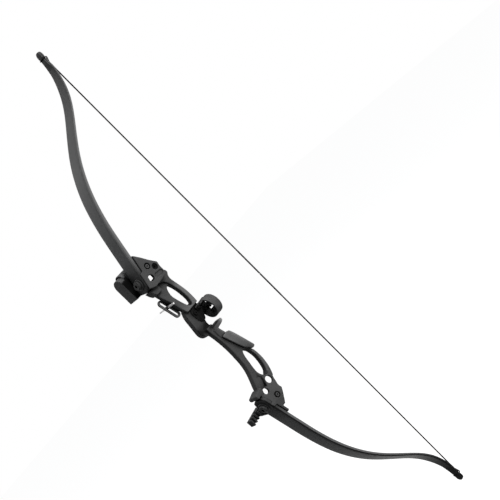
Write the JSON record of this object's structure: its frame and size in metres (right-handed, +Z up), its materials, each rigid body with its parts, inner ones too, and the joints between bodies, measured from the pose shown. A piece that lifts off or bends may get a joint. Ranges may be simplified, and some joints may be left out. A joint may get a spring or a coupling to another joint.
{
  "type": "recurve bow",
  "caption": "Takedown recurve bow, strung, black, with pocketed limbs, moulded grip, pin sight in a slotted loop, brush capture rest and a two piece bow quiver.",
  "frame": {"origin": "the pivot point of the hand, in the throat of the grip, on the bow's middle plane", "axes": "+Z up along the bow towards the upper tip, +X from the grip towards the string and the archer, +Y to the archer's right"},
  "size_m": [0.3055, 0.0955, 1.4798],
  "materials": {
    "riser_metal": "matt black coating on a cast light alloy",
    "grip_plastic": "fine moulded grain",
    "limb_laminate": "satin black fibre laminate",
    "dark_steel": "black oxide",
    "plain_steel": "turned",
    "insert_brass": "turned",
    "string_fibre": "waxed strands",
    "serving_thread": "wound thread",
    "sight_metal": "black coating",
    "bead_plastic": "pale bead",
    "rest_plastic": "moulded",
    "bristle": "fine bristles",
    "hood_plastic": "moulded grain",
    "hood_foam": "closed foam",
    "gripper_rubber": "soft rubber"
  },
  "bodies": {
    "riser_body": {"riser": "riser_metal", "grip": "grip_plastic", "upper_limb_butt": "limb_laminate", "lower_limb_butt": "limb_laminate", "upper_limb_bolt": "dark_steel", "lower_limb_bolt": "dark_steel", "bolt_washers": "dark_steel", "bolt_inserts": "insert_brass", "limb_dowels": "plain_steel", "pocket_screws": "dark_steel", "sight_bracket": "sight_metal", "sight_screws": "dark_steel", "rest_plate": "rest_plastic", "rest_screw": "dark_steel", "rest_arm_screw": "plain_steel", "rest_ring": "rest_plastic", "rest_holders": "rest_plastic", "rest_brush_a": "bristle", "rest_brush_b": "bristle", "rest_brush_c": "bristle", "hood_shell": "hood_plastic", "hood_foam": "hood_foam", "hood_bracket": "sight_metal", "hood_screws": "dark_steel", "gripper_bracket": "sight_metal", "gripper_screws": "dark_steel", "gripper_bar": "gripper_rubber"},
    "upper_limb": {"upper_limb": "limb_laminate", "upper_loop": "serving_thread"},
    "lower_limb": {"lower_limb": "limb_laminate", "lower_loop": "serving_thread"},
    "upper_string": {"upper_string": "string_fibre", "upper_serving": "serving_thread"},
    "lower_string": {"lower_string": "string_fibre", "lower_serving": "serving_thread"},
    "sight_carriage": {"sight_nuts": "dark_steel"},
    "sight_pin": {"sight_pin": "plain_steel", "sight_bead": "bead_plastic"}
  },
  "joints": [
    {"name": "draw", "type": "hinge", "parent": "riser_body", "child": "upper_limb", "pos_m": [-0.04012, 0, 0.29982], "axis": [0, 1, 0], "range_deg": [0, 18.73], "stiffness_Nm_per_rad": 350},
    {"name": "lower_limb_flex", "type": "hinge", "parent": "riser_body", "child": "lower_limb", "pos_m": [-0.04012, 0, -0.29982], "axis": [0, -1, 0], "range_deg": [0, 18.73], "stiffness_Nm_per_rad": 350},
    {"name": "upper_string_turn", "type": "hinge", "parent": "upper_limb", "child": "upper_string", "pos_m": [0.19864, 0, 0.69194], "axis": [0, -1, 0], "range_deg": [0, 49.55], "deforming": ["upper_string", "upper_serving"]},
    {"name": "lower_string_turn", "type": "hinge", "parent": "lower_limb", "child": "lower_string", "pos_m": [0.19864, 0, -0.69194], "axis": [0, 1, 0], "range_deg": [0, 49.55], "deforming": ["lower_string", "lower_serving"]},
    {"name": "sight_height", "type": "slide", "parent": "riser_body", "child": "sight_carriage", "axis": [-0.2398, 0, 0.9708], "range_m": [-0.0262, 0.0166]},
    {"name": "sight_windage", "type": "slide", "parent": "sight_carriage", "child": "sight_pin", "axis": [0, 1, 0], "range_m": [-0.008, 0.004]}
  ],
  "couplings": [
    {"joint": "lower_limb_flex", "follows": "draw", "ratio": 1},
    {"joint": "upper_string_turn", "follows": "draw", "ratio": 2.6431},
    {"joint": "lower_string_turn", "follows": "draw", "ratio": 2.6431}
  ]
}
